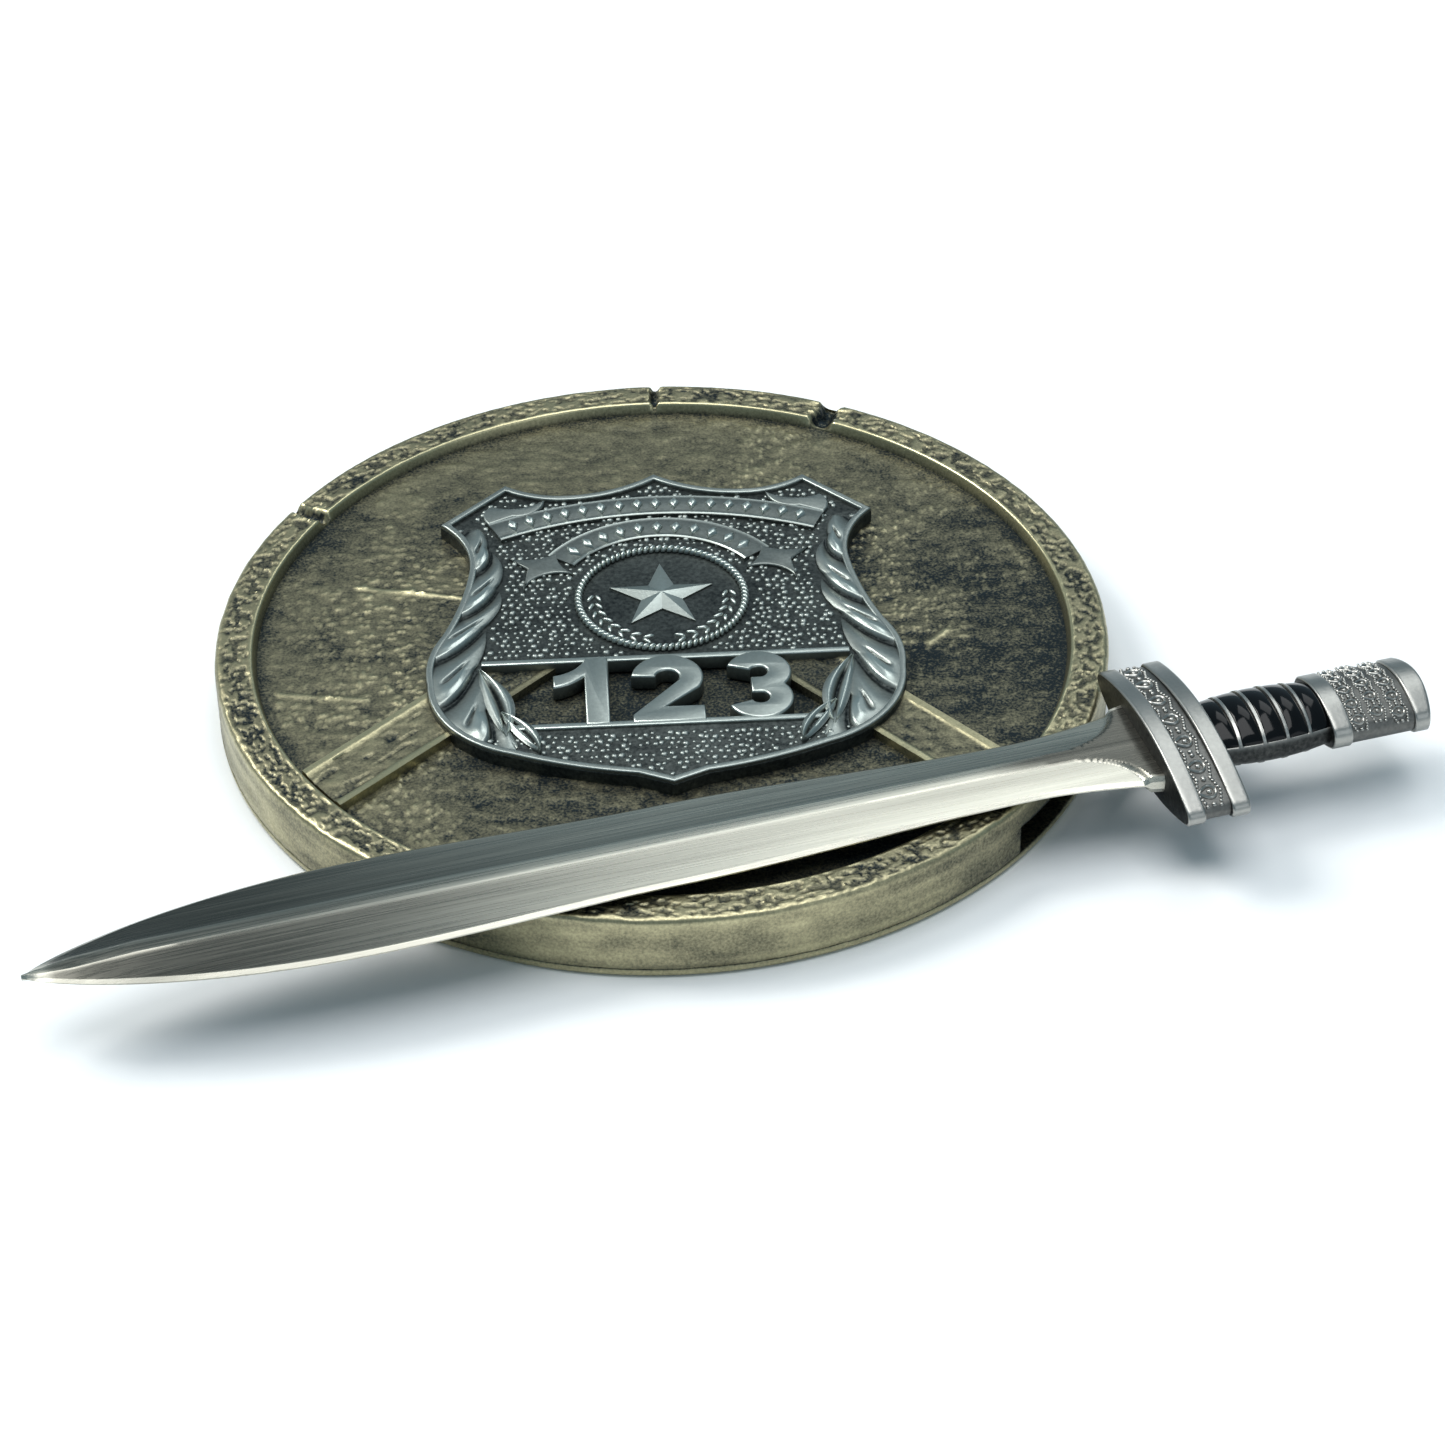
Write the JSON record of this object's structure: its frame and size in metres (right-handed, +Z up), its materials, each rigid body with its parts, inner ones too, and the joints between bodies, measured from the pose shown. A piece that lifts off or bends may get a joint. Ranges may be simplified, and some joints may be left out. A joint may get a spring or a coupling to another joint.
{
  "type": "challenge coin",
  "caption": "Round antique-bronze challenge coin with a raised shield badge and a loose miniature sword that lies across its rim and slides into a slot in its edge.",
  "frame": {"origin": "centre of the coin's back face, which is the face it lies on", "axes": "+Z up out of the decorated face, +X to the right and +Y to the top of the shield badge"},
  "size_m": [0.0935, 0.0696, 0.008],
  "materials": {
    "antique_bronze": "antiqued and hand-relieved bronze plating over cast zinc, satin with a hammered rim",
    "antique_nickel": "antiqued dark nickel plating over cast zinc, satin",
    "brushed_nickel": "nickel plating brushed along the blade",
    "antique_silver": "antiqued silver plating, bright on the high spots and dark in the pattern",
    "black_enamel": "glossy black enamel, domed between metal ribs",
    "bare_zinc": "bare cast zinc alloy pegs, hidden"
  },
  "bodies": {
    "coin": {"coin_front": "antique_bronze", "coin_back": "antique_bronze", "coin_dowels": "bare_zinc", "badge_plate": "antique_nickel", "badge_posts": "bare_zinc", "badge_number": "antique_nickel", "leaf_border_right": "antique_nickel", "leaf_border_left": "antique_nickel", "rope_ring": "antique_nickel", "centre_star": "antique_nickel", "ribbon_upper": "antique_nickel", "ribbon_lower": "antique_nickel"},
    "sword": {"blade": "brushed_nickel", "guard_front": "antique_silver", "guard_collar": "antique_silver", "guard_rear": "antique_silver", "grip_core": "antique_silver", "grip_enamel": "black_enamel", "pommel_collar": "antique_silver", "pommel_body": "antique_silver", "pommel_cap": "antique_silver"}
  },
  "joints": [
    {"name": "sword_lift", "type": "slide", "parent": "coin", "child": "sword", "axis": [0, 0, 1], "range_m": [0, 0.03]}
  ]
}
